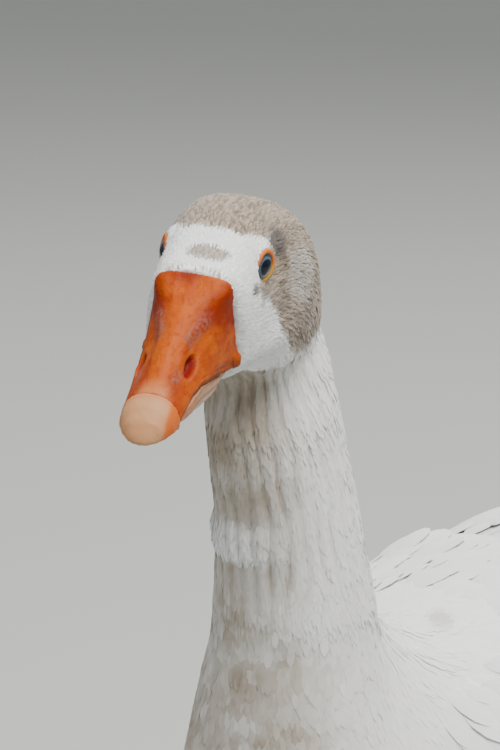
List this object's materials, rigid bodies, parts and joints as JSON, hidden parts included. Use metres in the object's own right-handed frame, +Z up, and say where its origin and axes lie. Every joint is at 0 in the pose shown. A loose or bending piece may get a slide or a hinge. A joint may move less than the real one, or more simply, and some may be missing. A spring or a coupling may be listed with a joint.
{
  "type": "domestic goose",
  "caption": "Life-size still model of a standing domestic goose, white with a grey cap and cheek, its head turned a little to its left.",
  "frame": {"origin": "on the floor, level with the soles, under the middle of the box from bill tip to tail tip", "axes": "+Z up, -Y the way the trunk faces, +X the bird's left side"},
  "size_m": [0.2212, 0.6578, 0.5477],
  "materials": {
    "plumage": "soft white feathers, greyer on the neck, grey-brown on cap and cheek",
    "bill": "ridged orange horn, satin",
    "bill_nail": "smooth pinkish cream horn",
    "leg": "scaly orange skin",
    "claw": "smooth pale horn",
    "eye": "wet pale blue-grey iris round a dark pupil"
  },
  "bodies": {
    "root": {"trunk": "plumage", "neck_lower": "plumage", "neck_middle": "plumage", "neck_upper": "plumage", "head": "plumage", "tail": "plumage", "wing_left": "plumage", "wing_right": "plumage", "primaries_left": "plumage", "primaries_right": "plumage", "thigh_left": "plumage", "thigh_right": "plumage", "shank_left": "leg", "shank_right": "leg", "foot_left": "leg", "foot_right": "leg", "claw_left_inner": "claw", "claw_left_middle": "claw", "claw_left_outer": "claw", "claw_left_hind": "claw", "claw_right_inner": "claw", "claw_right_middle": "claw", "claw_right_outer": "claw", "claw_right_hind": "claw", "eye_left": "eye", "eye_right": "eye", "bill_upper": "bill", "bill_lower": "bill", "bill_nail": "bill_nail"}
  },
  "joints": []
}
